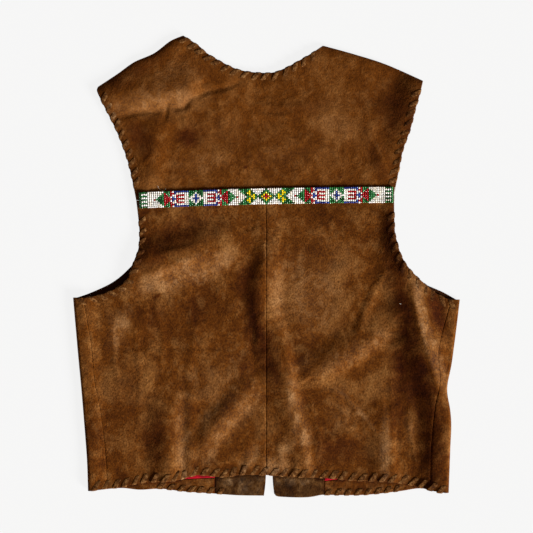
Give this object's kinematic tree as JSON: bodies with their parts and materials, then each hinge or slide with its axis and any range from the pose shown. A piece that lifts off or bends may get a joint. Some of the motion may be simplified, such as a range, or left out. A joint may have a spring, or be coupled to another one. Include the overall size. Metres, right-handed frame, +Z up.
{
  "type": "beaded leather waistcoat",
  "caption": "Suede waistcoat laid flat with its back up, a beaded band across the yoke and thong overcast round its edges.",
  "frame": {"origin": "on the surface the garment lies on, under the middle of its outline", "axes": "+Y from the hem to the neck, +Z up from the surface, -X towards the wearer's left"},
  "size_m": [0.5224, 0.6242, 0.0178],
  "materials": {
    "suede": "napped suede",
    "thong": "smooth, worn",
    "lining": "plain woven",
    "beads": "opaque, glossy"
  },
  "bodies": {
    "root": {"back_yoke": "suede", "back_lower_left": "suede", "back_lower_right": "suede", "front_left": "suede", "front_right": "suede", "front_facing_left": "suede", "front_facing_right": "suede", "hem_facing_left": "suede", "hem_facing_right": "suede", "lining_left": "lining", "lining_right": "lining", "bead_band": "beads", "lace_neck": "thong", "lace_hem": "thong", "lace_armhole_left_lower": "thong", "lace_armhole_left_upper": "thong", "lace_armhole_right_lower": "thong", "lace_armhole_right_upper": "thong", "lace_front_left": "thong", "lace_front_right": "thong"}
  },
  "joints": []
}
